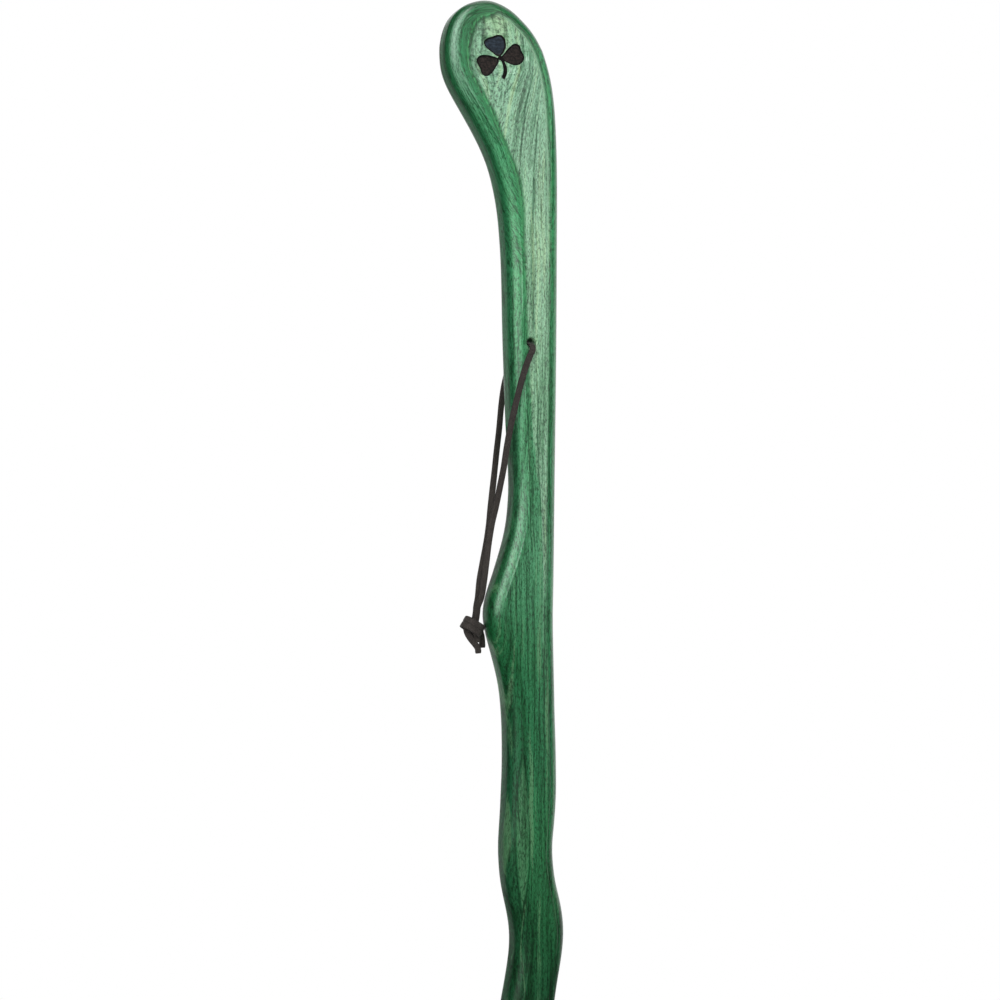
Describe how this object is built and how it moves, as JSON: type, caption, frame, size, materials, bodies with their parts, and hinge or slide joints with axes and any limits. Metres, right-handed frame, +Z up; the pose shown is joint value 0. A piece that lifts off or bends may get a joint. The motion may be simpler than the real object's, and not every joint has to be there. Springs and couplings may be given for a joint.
{
  "type": "hiking staff",
  "caption": "Carved one-piece wooden hiking staff with a leaning rounded head, a drilled hole with a knotted leather wrist thong, and a rubber ferrule over a steel washer.",
  "frame": {"origin": "a point inside the shaft, half way through the board, where a hand closes round it, 287 mm below the crown", "axes": "+Z up along the shaft towards the head, -Y out of the flat front face that carries the ornament, -X the way the head leans"},
  "size_m": [0.0771, 0.035, 1.397],
  "materials": {
    "stained_ash": "green water stain under satin lacquer, the grain showing",
    "thong_leather": "dark brown dyed leather, waxed",
    "ferrule_rubber": "moulded black rubber, matt",
    "washer_steel": "plain zinc-bright steel"
  },
  "bodies": {
    "staff": {"wooden_staff": "stained_ash"},
    "lanyard": {"thong_through_hole": "thong_leather", "thong_front_run": "thong_leather", "thong_rear_run": "thong_leather", "thong_knot": "thong_leather"},
    "ferrule": {"rubber_ferrule": "ferrule_rubber", "ferrule_washer": "washer_steel"}
  },
  "joints": [
    {"name": "lanyard_swing", "type": "hinge", "parent": "staff", "child": "lanyard", "pos_m": [-0.00275, 0, 0.0815], "axis": [0, 1, 0], "range_deg": [0, 145]},
    {"name": "ferrule_pull_off", "type": "slide", "parent": "staff", "child": "ferrule", "axis": [0, 0, -1], "range_m": [0, 0.05]}
  ]
}
